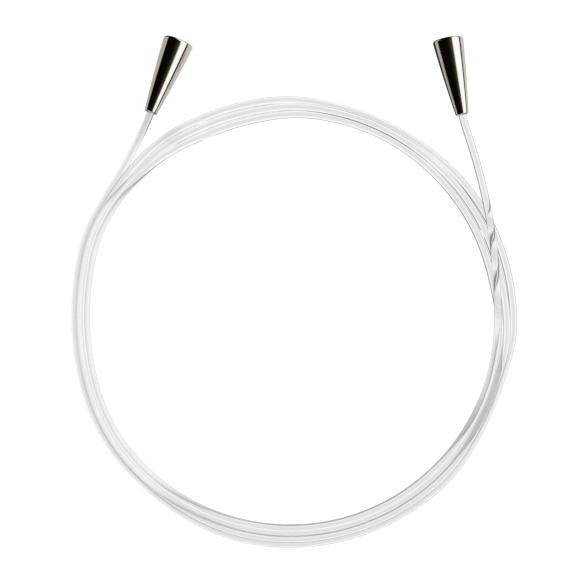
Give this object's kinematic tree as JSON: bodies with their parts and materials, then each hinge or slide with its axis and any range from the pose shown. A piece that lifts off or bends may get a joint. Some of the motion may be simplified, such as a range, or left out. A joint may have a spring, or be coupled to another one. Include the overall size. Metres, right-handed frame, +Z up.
{
  "type": "interchangeable circular knitting needle cable",
  "caption": "Clear nylon cable coiled flat, with a swivelling tapered metal connector on each end that takes a screw-in needle tip.",
  "frame": {"origin": "middle of the footprint, on the plane the coil and both connectors rest on", "axes": "+Z up from that plane, +Y from the coil towards the two connectors, +X to the right seen from above"},
  "size_m": [0.1428, 0.1632, 0.0098],
  "materials": {
    "cord": "clear, smooth",
    "connector": "polished nickel plate",
    "bush": "machined",
    "sleeve": "crimped"
  },
  "bodies": {
    "coil": {"cord_coil": "cord"},
    "left_link_1": {"left_cord_1": "cord"},
    "left_link_2": {"left_cord_2": "cord"},
    "left_link_3": {"left_cord_3": "cord"},
    "left_link_4": {"left_cord_4": "cord"},
    "left_link_5": {"left_cord_5": "cord"},
    "left_link_6": {"left_cord_6": "cord"},
    "left_link_7": {"left_cord_7": "cord"},
    "left_link_8": {"left_cord_8": "cord"},
    "left_link_9": {"left_cord_9": "cord", "left_crimp_sleeve": "sleeve"},
    "left_connector": {"left_taper_shell": "connector", "left_threaded_bush": "bush"},
    "right_link_1": {"right_cord_1": "cord"},
    "right_link_2": {"right_cord_2": "cord"},
    "right_link_3": {"right_cord_3": "cord"},
    "right_link_4": {"right_cord_4": "cord", "right_crimp_sleeve": "sleeve"},
    "right_connector": {"right_taper_shell": "connector", "right_threaded_bush": "bush"}
  },
  "joints": [
    {"name": "left_peel_1", "type": "hinge", "parent": "coil", "child": "left_link_1", "pos_m": [-0.0518, -0.05755, 0.0012], "axis": [0, 0, 1], "range_deg": [0, 13]},
    {"name": "left_peel_2", "type": "hinge", "parent": "left_link_1", "child": "left_link_2", "pos_m": [-0.06062, -0.04608, 0.0012], "axis": [0, 0, 1], "range_deg": [0, 13]},
    {"name": "left_peel_3", "type": "hinge", "parent": "left_link_2", "child": "left_link_3", "pos_m": [-0.06642, -0.03282, 0.0012], "axis": [0, 0, 1], "range_deg": [0, 13]},
    {"name": "left_peel_4", "type": "hinge", "parent": "left_link_3", "child": "left_link_4", "pos_m": [-0.06947, -0.01867, 0.0012], "axis": [0, 0, 1], "range_deg": [0, 13]},
    {"name": "left_peel_5", "type": "hinge", "parent": "left_link_4", "child": "left_link_5", "pos_m": [-0.07012, -0.0042, 0.0012], "axis": [0, 0, 1], "range_deg": [0, 13]},
    {"name": "left_peel_6", "type": "hinge", "parent": "left_link_5", "child": "left_link_6", "pos_m": [-0.06854, 0.0102, 0.0012], "axis": [0, 0, 1], "range_deg": [0, 13]},
    {"name": "left_peel_7", "type": "hinge", "parent": "left_link_6", "child": "left_link_7", "pos_m": [-0.06402, 0.02392, 0.0012], "axis": [0, 0, 1], "range_deg": [0, 13]},
    {"name": "left_lift_1", "type": "hinge", "parent": "left_link_7", "child": "left_link_8", "pos_m": [-0.05665, 0.0364, 0.00121], "axis": [0.8531, -0.5217, 0], "range_deg": [0, 10]},
    {"name": "left_lift_2", "type": "hinge", "parent": "left_link_8", "child": "left_link_9", "pos_m": [-0.04965, 0.04838, 0.00518], "axis": [0.88, -0.4749, 0], "range_deg": [0, 10]},
    {"name": "left_swivel", "type": "hinge", "parent": "left_link_9", "child": "left_connector", "pos_m": [-0.04547, 0.05719, 0.00696], "axis": [0.3586, 0.9294, -0.0872], "continuous": true},
    {"name": "right_peel_1", "type": "hinge", "parent": "coil", "child": "right_link_1", "pos_m": [0.06442, 0.00541, 0.0042], "axis": [0, 0, -1], "range_deg": [0, 18]},
    {"name": "right_lift_1", "type": "hinge", "parent": "right_link_1", "child": "right_link_2", "pos_m": [0.06291, 0.01953, 0.0042], "axis": [0.9892, 0.1468, 0], "range_deg": [0, 15]},
    {"name": "right_peel_2", "type": "hinge", "parent": "right_link_2", "child": "right_link_3", "pos_m": [0.06021, 0.03346, 0.00441], "axis": [0, 0, -1], "range_deg": [0, 18]},
    {"name": "right_lift_2", "type": "hinge", "parent": "right_link_3", "child": "right_link_4", "pos_m": [0.0563, 0.04705, 0.00568], "axis": [0.9505, 0.3108, 0], "range_deg": [0, 15]},
    {"name": "right_swivel", "type": "hinge", "parent": "right_link_4", "child": "right_connector", "pos_m": [0.0534, 0.0566, 0.00594], "axis": [-0.1829, 0.9822, -0.0436], "continuous": true}
  ],
  "couplings": [
    {"joint": "left_peel_2", "follows": "left_peel_1", "ratio": 1},
    {"joint": "left_peel_3", "follows": "left_peel_1", "ratio": 1},
    {"joint": "left_peel_4", "follows": "left_peel_1", "ratio": 1},
    {"joint": "left_peel_5", "follows": "left_peel_1", "ratio": 1},
    {"joint": "left_peel_6", "follows": "left_peel_1", "ratio": 1},
    {"joint": "left_peel_7", "follows": "left_peel_1", "ratio": 1},
    {"joint": "left_lift_2", "follows": "left_lift_1", "ratio": 1},
    {"joint": "right_peel_2", "follows": "right_peel_1", "ratio": 1},
    {"joint": "right_lift_2", "follows": "right_lift_1", "ratio": 1}
  ]
}
